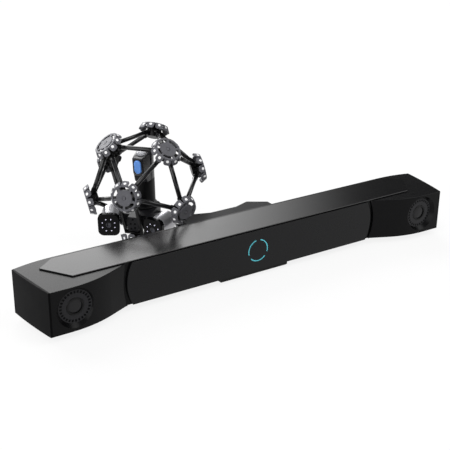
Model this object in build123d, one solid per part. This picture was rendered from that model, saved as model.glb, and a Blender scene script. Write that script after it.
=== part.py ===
from build123d import *
import math
import os

# A laser scanning set of two units that stand side by side. The first is a long
# optical tracker: a bar on a mount block, with a camera in a round recess at each
# end, a status light in the middle and a connection pod at the back. The second is
# a hand-held laser scanner inside a cage of rods and marker hubs, which the tracker
# follows. The cage is an icosahedron with one corner left out for the hand.
# All sizes are in millimetres, +Z is up, the tracker looks along -Y. The origin is
# the mouth of the tripod thread, under the middle of the tracker.

# Tracker bar
BAR_H = 94.0
FRONT_Y = -50.0
BACK_Y = 56.4
WING_L = 178.7
BEND_ANGLE = 24.0
BEND_LINE = 45.0
FLAT_Y = -88.4
END_FRONT_X = 498.7
END_LEAN = 19.4
END_BACK_Y = 43.2
END_BULGE = 2.2
BACK_ARC_L = 88.1
WALL = 3.0
EDGE_R = 1.0
TOP_EDGE = 0.6
CAP_T = 4.0
BASE_T = 3.0
FIT = 0.2

# Mount block under the bar
BLOCK_T = 14.5
BLOCK_HALF_L = 88.2
BLOCK_FRONT_Y = -40.6
BLOCK_BACK_Y = 38.0
BLOCK_CHAMFER = 2.5
THREAD_R = 4.0
INSERT_R = 8.0
INSERT_L = 12.0
MOUNT_SCREW_X = 60.0
MOUNT_SCREW_R = 2.5
MOUNT_HEAD_R = 4.3
MOUNT_HEAD_H = 4.0
MOUNT_HEAD_SINK = 2.0
MOUNT_HEX = 2.3
MOUNT_HEX_DEPTH = 2.5

# Front panel and status light
PANEL_T = 5.0
PANEL_PROUD = 2.0
PANEL_SHORT = 3.5
PANEL_END_SAG = 12.0
POCKET_BEYOND = 5.0
POCKET_END_SAG = 9.0
POCKET_BACK = 3.0
LIGHT_R = 24.3
LIGHT_W = 2.4
LIGHT_ARCS = 3
LIGHT_SPAN = 90.0
LIGHT_START = -15.0
LIGHT_PROUD = 0.1

# Top plate
PLATE_T = 2.8
PLATE_STEP = 1.1
PLATE_INSET = 1.6
PLATE_EDGE = 1.0
PLATE_FRONT = (67.7, -48.5)
PLATE_TIP = (25.7, 15.0)
PLATE_REAR = (64.7, 46.0)

# Tracker cameras
CAM_FROM_END = 56.2
CAM_RISE = 1.3
RECESS_R = 42.0
WINDOW_R = 35.0
RECESS_DEPTH = 8.5
WINDOW_T = 3.0
LIP_R = 33.2
LIP_T = 3.0
LED_COUNT = 28
LED_RING_R = 30.5
LED_W = 3.6
LED_L = 4.8
LED_SINK = 0.4
LED_T = 2.4
LENS_RING_R = 18.5
LENS_RING_BORE = 14.8
LENS_RING_PROUD = 0.9
LENS_RING_L = 6.0
LENS_RING_EDGE = 0.6
GLASS_T = 2.4
GLASS_DOME = 0.9
GLASS_SINK = 1.4
BARREL_R = 18.0
BARREL_WALL = 3.0
BOARD_T = 1.6
SENSOR_SIZE = 42.0
SENSOR_CHIP = 16.0
SENSOR_CHIP_T = 1.5

# Inner beam and electronics
BEAM_END_GAP = 18.7
BEAM_W = 50.0
BEAM_H = 50.0
BEAM_FRONT_Y = -15.0
BEAM_WALL = 3.0
BEAM_FOOT_L = 34.0
BEAM_FOOT_INSET = 3.0
BEAM_EDGE_R = 4.0
MOUNT_SCREW_INSET = 10.0
MOUNT_SCREW_ROOF = 4.0
MAIN_BOARD_L = 300.0
MAIN_BOARD_W = 40.0
MAIN_BOARD_RIM = 7.0
MAIN_CHIPS = [
    (-110.0, 30.0, 6.0),
    (-60.0, 22.0, 3.0),
    (0.0, 36.0, 8.0),
    (62.0, 24.0, 3.0),
    (115.0, 28.0, 7.0),
]
COVER_SCREW_FIRST = 110.0
COVER_SCREW_BEND = 20.0
COVER_SCREW_END = 26.7
COVER_SCREW_R = 1.5
COVER_HEAD_R = 2.9
BOSS_SIZE = 9.0
BOSS_H = 12.0
BOSS_ROOF = 2.0
COVER_SCREW_L = 11.0
COVER_DRIVE = 2.0

# Rear pod with its sockets and button
POD_HALF_L = 113.0
POD_SIDE_Y = 74.4
POD_HUMP_X = 71.5
POD_HUMP_Y = 99.9
POD_MID_X = 34.0
POD_MID_Y = 87.0
POD_WALL = 2.5
POD_DROP = 0.6
POD_H = 70.0
POD_CORNER_R = 3.0
POD_EDGE_R = 1.0
SOCKET_Z = 66.0
POWER_X = 22.0
POWER_BODY_R = 8.0
POWER_BORE_R = 5.0
POWER_DEPTH = 10.0
POWER_PROUD = 0.8
DATA_X = 1.0
DATA_W = 16.0
DATA_H = 14.0
DATA_HOLE_W = 12.0
DATA_HOLE_H = 7.5
DATA_DEPTH = 11.0
DATA_PROUD = 0.4
SOCKET_L = 13.0
BUTTON_X = -21.0
BUTTON_R = 6.0
BUTTON_L = 7.0
BUTTON_TRAVEL = 1.0
BUTTON_PROUD = BUTTON_TRAVEL + 0.6
BUTTON_EDGE_R = 0.8
BUTTON_FLANGE_R = 7.5
BUTTON_FLANGE_T = 1.2
RUN_GAP = 0.3

# Marker cage of the scanner
CAGE_X = -103.5
CAGE_Y = 261.0
CAGE_YAW = -47.8
CAGE_PITCH = 4.0
CAP_FACE_R = 140.7
CAP_T_HUB = 3.4
CAP_EDGE = 0.6
CAP_RING_R = 5.0
CAP_RING_W = 1.5
CAP_RING_SINK = 1.4
SLOT_W = 6.6
RING_W = 3.8
RING_R = 29.2
RING_T = 3.4
SPOKE_COUNT = 5
SPOKE_W = 5.0
SPOKE_SINK = 0.6
TAB_COUNT = 10
TAB_W = 16.2
TAB_T = 2.6
TAB_ANGLE = 25.0
TAB_FRONT = 7.2
TAB_REAR = 9.5
TAB_CORNER = 5.0
MARKER_DROP = 5.2
MARKER_OUT = 2.8
DOT_R = 3.2
DOT_T = 0.5
CORE_R = 15.0
CORE_L = 25.3
STUB_R = 6.3
STUB_L = 30.0
ROD_R = 5.2
ROD_WALL = 1.2
NODE_DROP = 9.7
EQUATOR_ANGLE = 10.81
POLE_ANGLE = 52.62

# Front frame that joins the two hubs beside the laser module
FRAME_OUTER = 45.0
FRAME_BAR = 6.5
FRAME_T = 7.0
FRAME_CROSS = 6.0
FRAME_STUB_L = 21.0
FRAME_EDGE = 1.2
PAD_R = 8.0
PAD_BITE = 4.0
PAD_INSET = 2.0

# Scanner body
HEAD_X = 52.4
HEAD_Z = -60.0
HEAD_TOE_ANGLE = 14.0
HEAD_W = 49.0
HEAD_H = 54.0
HEAD_R = 13.0
HEAD_FRONT_Y = -110.0
HEAD_L = 10.0
HEAD_WALL = 2.5
HEAD_CHAMFER = 1.5
SCAN_LENS_R = 6.0
SCAN_LENS_L = 24.0
SCAN_LENS_SINK = 0.4
SCAN_LENS_CONE = (5.0, 2.5, 3.0)
SCAN_LED_RING_R = 15.2
SCAN_LED_COUNT = 8
SCAN_LED_R = 1.4
SCAN_LED_L = 4.0
SCAN_LED_SINK = 0.3
PIPE_R = 23.0
PIPE_L = 56.0
PIPE_WALL = 2.5
PIPE_END_R = 4.0
SADDLE_L = 20.0
SADDLE_H = 24.0
SADDLE_BACK = 42.0
CHASSIS_HALF_W = 26.0
CHASSIS_FRONT_Y = -72.0
CHASSIS_BACK_Y = 24.0
CHASSIS_BOTTOM = -88.0
CHASSIS_TOP = -54.0
CHASSIS_WALL = 3.0
CHASSIS_FRONT_WALL = 15.0
CHASSIS_COVER_T = 3.0
CHASSIS_R = 8.0
LEG_R = 7.0
LEG_START = (15.0, 6.0, -76.0)
FRONT_LEG_START = 94.0
CHASSIS_CUT_GAP = 6.0
MODULE_HALF_W = 12.6
MODULE_FRONT_Y = -94.0
MODULE_BOTTOM = -77.4
MODULE_TOP = -42.0
MODULE_WALL = 2.0
MODULE_CORNER_R = 2.0
MODULE_EDGE = 0.8
LASER_SPOTS = [(0.0, 12.0), (-5.0, 1.0), (5.0, 1.5), (5.0, -8.0), (-4.0, -11.0)]
LASER_R = 2.6
LASER_SINK = 0.5
HANDLE_W = 41.0
HANDLE_D = 56.0
HANDLE_Y = 3.0
HANDLE_SEAM = 17.0
HANDLE_WALL = 3.0
COLLAR_T = 5.0
COLLAR_OUT = 3.5
COLLAR_EDGE = 1.5
NOSE_HALF_W = 12.0
NOSE_END_Y = -10.0
HEAD_BLOCK_WALL = 3.0
HEAD_EDGE_R = 2.2
SHOULDER_R = 10.0
HEAD_ROOF_Z = 82.0
TRIGGER_FACET = [(-40.5, 44.0), (-45.0, HEAD_ROOF_Z)]
HEAD_CHIN = (-33.0, 34.0)
HEAD_ROOF_Y = -2.0
HEAD_BACK = (40.0, 66.0)
WIRE_HALF_W = 10.0
WIRE_HALF_L = 16.0
WIRE_H = 12.0
WELL_WALL = 1.5
WELL_FLOOR = 1.5
TRIGGER_W = 17.0
TRIGGER_H = 34.0
TRIGGER_Z = 60.0
TRIGGER_L = 11.0
TRIGGER_PROUD = 3.0
TRIGGER_TRAVEL = 3.0
TRIGGER_EDGE_R = 2.5
KEY_Y = -17.0
KEY_HALF_W = 11.0
KEY_HALF_L = 10.5
KEY_L = 10.0
KEY_PROUD = 7.0
KEY_TRAVEL = 1.2
KEY_EDGE_R = 5.5
SCAN_BOARD_W = 36.0
SCAN_BOARD_L = 72.0
SCAN_BOARD_GAP = 2.0
SCAN_CHIPS = [(12.0, 12.0, 24.0, 3.0), (9.0, 48.0, 16.0, 2.0)]
SCAN_PLUG_R = 9.0
SCAN_PLUG_BORE = 6.0
SCAN_PLUG_L = 12.0
SCAN_PLUG_DEPTH = 10.0

# Sizes that follow from the ones above
END_BACK_X = END_FRONT_X + END_LEAN
BEND_X = END_FRONT_X - WING_L
BACK_STRAIGHT_X = END_BACK_X - BACK_ARC_L
PANEL_END_X = BEND_X - PANEL_SHORT
POCKET_END_X = BEND_X + POCKET_BEYOND
PANEL_SEAT = PANEL_T - PANEL_PROUD
CAM_X = END_FRONT_X - CAM_FROM_END
BEAM_HALF_L = END_FRONT_X - BEAM_END_GAP
PLATE_POINTS = [(END_FRONT_X - inset, y) for inset, y in (PLATE_FRONT, PLATE_TIP, PLATE_REAR)]
COVER_SCREW_BENT = BEND_X - COVER_SCREW_BEND
COVER_SCREW_MID = (COVER_SCREW_FIRST + COVER_SCREW_BENT) / 2
COVER_SCREW_X = [COVER_SCREW_FIRST, COVER_SCREW_MID, COVER_SCREW_BENT, END_FRONT_X - COVER_SCREW_END]
SLOT_R = RING_R - RING_W
CAP_R = SLOT_R - SLOT_W
MARKER_RING_R = RING_R + MARKER_OUT
MARKER_PLANE_R = CAP_FACE_R - MARKER_DROP
NODE_R = CAP_FACE_R - NODE_DROP
CORE_INNER_R = CAP_FACE_R - CAP_T_HUB - CORE_L
CHASSIS_CUT_R = CORE_INNER_R - CHASSIS_CUT_GAP
BAR_BOTTOM = BLOCK_T
BAR_TOP = BAR_BOTTOM + BAR_H
BAR_MID = BAR_BOTTOM + BAR_H / 2
BEAM_Z = BAR_MID
CAM_Z = BAR_MID + CAM_RISE
SHORT = 0.01

parts = {}


def block(x0, x1, y0, y1, z0, z1):
    """A box between two corners."""
    size = (x1 - x0, y1 - y0, z1 - z0)
    return Pos((x0 + x1) / 2, (y0 + y1) / 2, (z0 + z1) / 2) * Box(*size)


def disc_y(x, z, radius, y0, y1):
    """A cylinder along Y between y0 and y1."""
    return Pos(x, (y0 + y1) / 2, z) * Rot(90, 0, 0) * Cylinder(radius, y1 - y0)


def disc_z(x, y, radius, z0, z1):
    """A cylinder along Z between z0 and z1."""
    return Pos(x, y, (z0 + z1) / 2) * Cylinder(radius, z1 - z0)


def prism(face, z0, z1):
    """A plan face extruded from z0 up to z1."""
    return extrude(Pos(0, 0, z0) * face, z1 - z0, dir=(0, 0, 1))


def rigid_group(solids):
    """Several separate solids kept as one group."""
    return Compound(children=list(solids))


def flip(shape):
    """The mirror image across the plane X = 0."""
    return mirror(shape, Plane.YZ)


def bar_plan():
    """Plan of the bar: straight middle, ends swept forward, slightly bowed end faces."""
    turn = math.radians(BEND_ANGLE)
    sweep_start = (BEND_X + BEND_LINE * math.cos(turn), FRONT_Y - BEND_LINE * math.sin(turn))
    sweep_r = (sweep_start[1] - FLAT_Y) / (1 - math.cos(turn))
    flat_start = (sweep_start[0] + sweep_r * math.sin(turn), FLAT_Y)
    front = Line((-BEND_X, FRONT_Y), (BEND_X, FRONT_Y))
    wing = Line((BEND_X, FRONT_Y), sweep_start)
    sweep = TangentArc(flat_start, sweep_start, tangent=(-1, 0))
    flat = Line(flat_start, (END_FRONT_X, FLAT_Y))
    middle = ((END_FRONT_X + END_BACK_X) / 2 + END_BULGE, (FLAT_Y + END_BACK_Y) / 2)
    end = ThreePointArc((END_FRONT_X, FLAT_Y), middle, (END_BACK_X, END_BACK_Y))
    rear = TangentArc((BACK_STRAIGHT_X, BACK_Y), (END_BACK_X, END_BACK_Y), tangent=(1, 0))
    side = [wing, sweep, flat, end, rear]
    back = Line((-BACK_STRAIGHT_X, BACK_Y), (BACK_STRAIGHT_X, BACK_Y))
    return make_face([front, back] + side + [mirror(edge, Plane.YZ) for edge in side])


def arc_ended_face(half_length, sag, height):
    """A long face in the XZ plane whose two ends are arcs that bow outwards."""
    h = height / 2
    x = half_length - sag
    lines = [
        Line((-x, -h), (x, -h)),
        ThreePointArc((x, -h), (half_length, 0), (x, h)),
        Line((x, h), (-x, h)),
        ThreePointArc((-x, h), (-half_length, 0), (-x, -h)),
    ]
    return make_face(lines)


def upright(face, y, z, depth):
    """A face drawn in X and Z, extruded towards +Y from the plane at y."""
    plane = Plane(origin=(0, y, z), x_dir=(1, 0, 0), z_dir=(0, -1, 0))
    return extrude(plane * face, depth, dir=(0, 1, 0))


def back_line_y(x):
    """Where the back of the bar is at x: straight in the middle, then an arc."""
    beyond = max(0.0, x - BACK_STRAIGHT_X)
    run = END_BACK_X - BACK_STRAIGHT_X
    drop = BACK_Y - END_BACK_Y
    arc_r = (run ** 2 + drop ** 2) / (2 * drop)
    return BACK_Y - (arc_r - math.sqrt(arc_r ** 2 - beyond ** 2))


def cover_screw_bosses():
    """Each screw of the base cover: its x, the inner wall beside it, and which way is inwards."""
    spots = []
    for x in COVER_SCREW_X:
        front = FLAT_Y + WALL if x > BEND_X else FRONT_Y + PANEL_SEAT + POCKET_BACK
        spots += [(x, front, 1), (-x, front, 1)]
        spots += [(x, back_line_y(x) - WALL, -1), (-x, back_line_y(x) - WALL, -1)]
    return spots


plan = bar_plan()
outer = prism(plan, BAR_BOTTOM, BAR_TOP)
outer = fillet(outer.edges().filter_by(GeomType.LINE).filter_by(Axis.Z), EDGE_R)
outer = chamfer(outer.faces().sort_by(Axis.Z)[-1].edges(), TOP_EDGE)
cap_cut = Polygon(
    (END_FRONT_X - CAP_T, FLAT_Y),
    (END_FRONT_X - CAP_T + 2 * END_LEAN, FLAT_Y + 2 * (END_BACK_Y - FLAT_Y)),
    (END_BACK_X + 2 * END_LEAN, FLAT_Y + 2 * (END_BACK_Y - FLAT_Y)),
    (END_BACK_X + 2 * END_LEAN, FLAT_Y - CAP_T),
    (END_FRONT_X - CAP_T, FLAT_Y - CAP_T),
    align=None,
)
cap_side = prism(cap_cut, BAR_BOTTOM - 1, BAR_TOP + 1)
parts["end_cap_right"] = outer & cap_side
parts["end_cap_left"] = flip(parts["end_cap_right"])

# Bar housing: a long shell, open below, with a pocket for the front panel
cavity_plan = offset(plan, -WALL)
front_wall_y = FRONT_Y + PANEL_SEAT + POCKET_BACK
cavity = prism(cavity_plan, BAR_BOTTOM - 1, BAR_TOP - WALL)
pocket_x = POCKET_END_X + WALL
cavity -= block(-pocket_x, pocket_x, FLAT_Y, front_wall_y, 0, BAR_TOP + 1)
housing = outer - cap_side - flip(cap_side)
for side in (-1, 1):
    x = side * CAM_X
    cavity -= disc_y(x, CAM_Z, RECESS_R + WALL, FLAT_Y, FLAT_Y + RECESS_DEPTH + WINDOW_T + LIP_T)
housing -= cavity
pocket_face = arc_ended_face(POCKET_END_X, POCKET_END_SAG, BAR_H + 2)
housing -= upright(pocket_face, FLAT_Y, BAR_MID, FRONT_Y + PANEL_SEAT - FLAT_Y)
screw_places = []
for x, wall_y, inwards in cover_screw_bosses():
    half = BOSS_SIZE / 2
    z0 = BAR_BOTTOM + BASE_T
    y = wall_y + inwards * half
    boss_y = sorted((wall_y - inwards * WALL / 2, y + inwards * half))
    housing += block(x - half, x + half, *boss_y, z0, z0 + BOSS_H)
    housing -= disc_z(x, y, COVER_SCREW_R, z0 - 1, z0 + BOSS_H - BOSS_ROOF)
    screw_places.append((x, y))
for side in (-1, 1):
    x = side * CAM_X
    cone = Pos(x, FLAT_Y + RECESS_DEPTH / 2, CAM_Z) * Rot(-90, 0, 0)
    housing -= cone * Cone(RECESS_R, WINDOW_R + FIT, RECESS_DEPTH)
    window_back = FLAT_Y + RECESS_DEPTH + WINDOW_T
    housing -= disc_y(x, CAM_Z, WINDOW_R + FIT, FLAT_Y + RECESS_DEPTH - SHORT, window_back)
    housing -= disc_y(x, CAM_Z, LIP_R, window_back - 1, window_back + LIP_T + 1)
parts["bar_housing"] = housing

# Base cover: closes the bar below, held by countersunk screws
base = prism(offset(plan, -WALL - FIT), BAR_BOTTOM, BAR_BOTTOM + BASE_T)
base -= block(-pocket_x - FIT, pocket_x + FIT, FLAT_Y - 1, front_wall_y + FIT, 0, BAR_MID)
base -= Pos(-FIT, 0, 0) * cap_side
base -= Pos(FIT, 0, 0) * flip(cap_side)
cover_screws = []
for x, y in screw_places:
    head_h = COVER_HEAD_R - COVER_SCREW_R
    z0 = BAR_BOTTOM
    cone = Pos(x, y, z0 + head_h / 2)
    base -= cone * Cone(COVER_HEAD_R + FIT, COVER_SCREW_R + FIT, head_h)
    base -= disc_z(x, y, COVER_SCREW_R + FIT, z0, z0 + BASE_T + 1)
    screw = cone * Cone(COVER_HEAD_R, COVER_SCREW_R, head_h)
    screw += disc_z(x, y, COVER_SCREW_R, z0 + head_h - SHORT, z0 + COVER_SCREW_L)
    screw -= Pos(x, y, z0) * Rot(0, 0, 45) * Box(COVER_DRIVE, COVER_DRIVE, COVER_DRIVE)
    cover_screws.append(screw)
parts["cover_screws"] = rigid_group(cover_screws)

# Front panel with three arc slots for the light guides
panel_y = FRONT_Y - PANEL_PROUD
panel = upright(arc_ended_face(PANEL_END_X, PANEL_END_SAG, BAR_H - 2 * FIT), panel_y, BAR_MID, PANEL_T)


def light_arc(width, y0, y1, number):
    """One part of the light ring, an arc band with round ends, between y0 and y1."""
    start = LIGHT_START + number * 360.0 / LIGHT_ARCS
    path = CenterArc((0, 0), LIGHT_R, start, LIGHT_SPAN)
    band = make_face(offset(path, width / 2, side=Side.BOTH))
    return upright(band, y0, BAR_MID, y1 - y0)


guides = []
for number in range(LIGHT_ARCS):
    panel -= light_arc(LIGHT_W + FIT, panel_y - 1, panel_y + PANEL_T + 1, number)
    guides.append(light_arc(LIGHT_W, panel_y - LIGHT_PROUD, panel_y + PANEL_T, number))
parts["front_panel"] = panel
parts["status_light_arcs"] = rigid_group(guides)

# Top plate: a raised plate with pointed ends above a narrow shadow step
corner, tip, rear_corner = PLATE_POINTS
half_plan = [corner, tip, rear_corner]
plate_plan = Polygon(*half_plan, *[(-x, y) for x, y in reversed(half_plan)], align=None)
plate = prism(plate_plan, BAR_TOP + PLATE_STEP, BAR_TOP + PLATE_T)
plate = chamfer(plate.faces().sort_by(Axis.Z)[-1].edges(), PLATE_EDGE)
plate += prism(offset(plate_plan, -PLATE_INSET, kind=Kind.INTERSECTION), BAR_TOP, BAR_TOP + PLATE_STEP)
parts["top_plate"] = plate

# Tracker cameras: window plate, light emitters, lens ring, glass and barrel
window_y = FLAT_Y + RECESS_DEPTH
all_leds = []
sensors = []
for name, side in (("left", -1), ("right", 1)):
    x = side * CAM_X
    window = disc_y(x, CAM_Z, WINDOW_R, window_y, window_y + WINDOW_T)
    window -= disc_y(x, CAM_Z, LENS_RING_R + FIT, window_y - 1, window_y + WINDOW_T + 1)
    for number in range(LED_COUNT):
        angle = 360.0 / LED_COUNT * number
        place = Pos(x, 0, CAM_Z) * Rot(0, angle, 0)
        y0 = window_y + LED_SINK
        slot = block(LED_RING_R - LED_L / 2 - FIT, LED_RING_R + LED_L / 2 + FIT,
                     window_y - 1, y0 + LED_T, -LED_W / 2 - FIT, LED_W / 2 + FIT)
        led = block(LED_RING_R - LED_L / 2, LED_RING_R + LED_L / 2,
                    y0, y0 + LED_T, -LED_W / 2, LED_W / 2)
        window -= place * slot
        all_leds.append(place * led)
    parts[f"camera_window_{name}"] = window
    ring_y = window_y - LENS_RING_PROUD
    ring = disc_y(x, CAM_Z, LENS_RING_R, ring_y, ring_y + LENS_RING_L)
    ring = chamfer(ring.faces().sort_by(Axis.Y)[0].edges(), LENS_RING_EDGE)
    ring -= disc_y(x, CAM_Z, LENS_RING_BORE, ring_y - 1, ring_y + LENS_RING_L + 1)
    parts[f"lens_ring_{name}"] = ring
    glass_r = LENS_RING_BORE - FIT
    dome_r = (glass_r ** 2 + GLASS_DOME ** 2) / (2 * GLASS_DOME)
    glass_y = ring_y + GLASS_SINK
    glass = disc_y(x, CAM_Z, glass_r, glass_y, glass_y + GLASS_DOME + GLASS_T)
    glass &= Pos(x, glass_y + dome_r, CAM_Z) * Sphere(dome_r)
    parts[f"lens_glass_{name}"] = glass
    barrel_y = ring_y + LENS_RING_L
    barrel_end = BEAM_FRONT_Y - BOARD_T
    barrel = disc_y(x, CAM_Z, BARREL_R, barrel_y, barrel_end)
    barrel -= disc_y(x, CAM_Z, BARREL_R - BARREL_WALL, barrel_y - 1, barrel_end + 1)
    parts[f"lens_barrel_{name}"] = barrel
    half = SENSOR_SIZE / 2
    sensor = block(x - half, x + half, barrel_end, BEAM_FRONT_Y, CAM_Z - half, CAM_Z + half)
    chip = SENSOR_CHIP / 2
    sensor += block(x - chip, x + chip, barrel_end - SENSOR_CHIP_T, barrel_end, CAM_Z - chip, CAM_Z + chip)
    sensors.append(sensor)
parts["camera_leds"] = rigid_group(all_leds)
parts["sensor_boards"] = rigid_group(sensors)

# Optics beam: the stiff tube that holds both cameras at a fixed distance
beam_y1 = BEAM_FRONT_Y + BEAM_W
beam_z0 = BEAM_Z - BEAM_H / 2
beam_z1 = BEAM_Z + BEAM_H / 2
beam = block(-BEAM_HALF_L, BEAM_HALF_L, BEAM_FRONT_Y, beam_y1, beam_z0, beam_z1)
beam = fillet(beam.edges().filter_by(Axis.X), BEAM_EDGE_R)
beam -= block(-BEAM_HALF_L - 1, BEAM_HALF_L + 1, BEAM_FRONT_Y + BEAM_WALL, beam_y1 - BEAM_WALL,
              beam_z0 + BEAM_WALL, beam_z1 - BEAM_WALL)
base_top = BAR_BOTTOM + BASE_T
mount_screws = []
mount_places = []
for side in (-1, 1):
    x = side * MOUNT_SCREW_X
    half = BEAM_FOOT_L / 2
    beam += block(x - half, x + half, BEAM_FRONT_Y + BEAM_FOOT_INSET, beam_y1 - BEAM_FOOT_INSET,
                  base_top, beam_z0 + 1)
    for y in (BEAM_FRONT_Y + MOUNT_SCREW_INSET, beam_y1 - MOUNT_SCREW_INSET):
        mount_places.append((x, y))
for x, y in mount_places:
    screw_top = beam_z0 - MOUNT_SCREW_ROOF
    beam -= disc_z(x, y, MOUNT_SCREW_R, base_top - 1, screw_top + 1)
    base -= disc_z(x, y, MOUNT_SCREW_R + FIT, BAR_BOTTOM - 1, base_top + 1)
    z_head = MOUNT_HEAD_SINK + MOUNT_HEAD_H
    screw = disc_z(x, y, MOUNT_HEAD_R, MOUNT_HEAD_SINK, z_head)
    screw += disc_z(x, y, MOUNT_SCREW_R, z_head - SHORT, screw_top)
    screw -= Pos(x, y, MOUNT_HEAD_SINK) * extrude(RegularPolygon(MOUNT_HEX, 6), MOUNT_HEX_DEPTH)
    mount_screws.append(screw)
parts["optics_beam"] = beam
parts["mount_screws"] = rigid_group(mount_screws)

# Main board on top of the beam, with its larger components
half = MAIN_BOARD_L / 2
board_y0 = BEAM_FRONT_Y + (BEAM_W - MAIN_BOARD_W) / 2
board = block(-half, half, board_y0, board_y0 + MAIN_BOARD_W, beam_z1, beam_z1 + BOARD_T)
for x, length, height in MAIN_CHIPS:
    z0 = beam_z1 + BOARD_T
    board += block(x - length / 2, x + length / 2, board_y0 + MAIN_BOARD_RIM,
                   board_y0 + MAIN_BOARD_W - MAIN_BOARD_RIM, z0, z0 + height)
parts["main_board"] = board

# Mount block with a brass insert for a tripod screw
mount = block(-BLOCK_HALF_L, BLOCK_HALF_L, BLOCK_FRONT_Y, BLOCK_BACK_Y, 0, BLOCK_T)
mount = chamfer(mount.faces().sort_by(Axis.Z)[0].edges(), BLOCK_CHAMFER)
mount -= disc_z(0, 0, INSERT_R + FIT / 4, -1, INSERT_L)
for x, y in mount_places:
    mount -= disc_z(x, y, MOUNT_SCREW_R + FIT, -1, BLOCK_T + 1)
    mount -= disc_z(x, y, MOUNT_HEAD_R + FIT, -1, MOUNT_HEAD_SINK + MOUNT_HEAD_H)
parts["mount_block"] = mount
parts["thread_insert"] = disc_z(0, 0, INSERT_R, 0, INSERT_L) - disc_z(0, 0, THREAD_R, -1, INSERT_L + 1)
parts["base_cover"] = base

# Rear pod: a hollow cover on the back of the bar, with sockets and the power button
pod_side = [(POD_HALF_L, BACK_Y), (POD_HALF_L, POD_SIDE_Y), (POD_HUMP_X, POD_HUMP_Y), (POD_MID_X, POD_MID_Y)]
pod_points = pod_side + [(-x, y) for x, y in reversed(pod_side)]
pod_plan = Polygon(*pod_points, align=None)
pod_top = BAR_TOP - POD_DROP
pod_bottom = pod_top - POD_H
pod = prism(pod_plan, pod_bottom, pod_top)
pod = fillet(pod.edges().filter_by(Axis.Z).sort_by(Axis.Y)[2:], POD_CORNER_R)
pod_rim = pod.faces().sort_by(Axis.Z)[-1].edges().sort_by(Axis.Y)[1:]
pod = fillet(pod_rim, POD_EDGE_R)
inner_plan = offset(pod_plan, -POD_WALL, kind=Kind.INTERSECTION)
pod_cavity = prism(inner_plan, pod_bottom + POD_WALL, pod_top - POD_WALL)
pod_cavity += block(-POD_HALF_L + POD_WALL, POD_HALF_L - POD_WALL, BACK_Y - 1, BACK_Y + POD_WALL + SHORT,
                    pod_bottom + POD_WALL, pod_top - POD_WALL)
pod -= pod_cavity
pod_wall_y = (POD_MID_Y - POD_WALL - 1, POD_MID_Y + 1)
pod -= disc_y(POWER_X, SOCKET_Z, POWER_BODY_R + FIT, *pod_wall_y)
pod -= block(DATA_X - DATA_W / 2 - FIT, DATA_X + DATA_W / 2 + FIT, *pod_wall_y,
             SOCKET_Z - DATA_H / 2 - FIT, SOCKET_Z + DATA_H / 2 + FIT)
pod -= disc_y(BUTTON_X, SOCKET_Z, BUTTON_R + RUN_GAP, *pod_wall_y)
parts["rear_pod"] = pod

# Power socket, data socket and power button in the pod's back wall
power_mouth = POD_MID_Y + POWER_PROUD
power = disc_y(POWER_X, SOCKET_Z, POWER_BODY_R, POD_MID_Y - SOCKET_L, power_mouth)
power -= disc_y(POWER_X, SOCKET_Z, POWER_BORE_R, power_mouth - POWER_DEPTH, power_mouth + 1)
parts["power_socket"] = power
data_mouth = POD_MID_Y + DATA_PROUD
data = block(DATA_X - DATA_W / 2, DATA_X + DATA_W / 2, POD_MID_Y - SOCKET_L, data_mouth,
             SOCKET_Z - DATA_H / 2, SOCKET_Z + DATA_H / 2)
data -= block(DATA_X - DATA_HOLE_W / 2, DATA_X + DATA_HOLE_W / 2, data_mouth - DATA_DEPTH, data_mouth + 1,
              SOCKET_Z - DATA_HOLE_H / 2, SOCKET_Z + DATA_HOLE_H / 2)
parts["data_socket"] = data
button = disc_y(BUTTON_X, SOCKET_Z, BUTTON_R, POD_MID_Y + BUTTON_PROUD - BUTTON_L, POD_MID_Y + BUTTON_PROUD)
button = fillet(button.faces().sort_by(Axis.Y)[-1].edges(), BUTTON_EDGE_R)
flange_y = POD_MID_Y - POD_WALL - RUN_GAP
button += disc_y(BUTTON_X, SOCKET_Z, BUTTON_FLANGE_R, flange_y - BUTTON_FLANGE_T, flange_y)
parts["power_button"] = button


# Scanner, drawn about the middle of its cage: it looks along its own -Y
def ray(azimuth, elevation):
    """Unit direction from azimuth (from forward towards the right) and elevation."""
    a = math.radians(azimuth)
    e = math.radians(elevation)
    return Vector(math.sin(a) * math.cos(e), -math.cos(a) * math.cos(e), math.sin(e))


hubs = {
    "top_back": ray(180, POLE_ANGLE),
    "top_left": ray(-60, POLE_ANGLE),
    "top_right": ray(60, POLE_ANGLE),
    "front": ray(0, EQUATOR_ANGLE),
    "right": ray(120, EQUATOR_ANGLE),
    "left": ray(-120, EQUATOR_ANGLE),
    "low_right": ray(60, -EQUATOR_ANGLE),
    "low_left": ray(-60, -EQUATOR_ANGLE),
    "bottom_front": ray(0, -POLE_ANGLE),
    "bottom_right": ray(120, -POLE_ANGLE),
    "bottom_left": ray(-120, -POLE_ANGLE),
}
names = list(hubs)
OPEN_EDGES = [("front", "bottom_front"), ("low_left", "bottom_front"), ("low_right", "bottom_front")]


def are_neighbours(a, b):
    """Two corners of an icosahedron are neighbours when 63.4 degrees apart."""
    return abs(hubs[a].dot(hubs[b]) - 1 / math.sqrt(5)) < 0.02


edges = [(a, b) for i, a in enumerate(names) for b in names[i + 1:] if are_neighbours(a, b)]
rod_edges = [edge for edge in edges if edge not in OPEN_EDGES and edge[::-1] not in OPEN_EDGES]


def hub_plane(name, distance=0.0):
    """A plane across a hub's axis, its X pointing towards one neighbour."""
    normal = hubs[name]
    other = next(hubs[b if a == name else a] for a, b in edges if name in (a, b))
    along = other - normal * other.dot(normal)
    return Plane(origin=normal * distance, x_dir=along, z_dir=normal)


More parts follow.
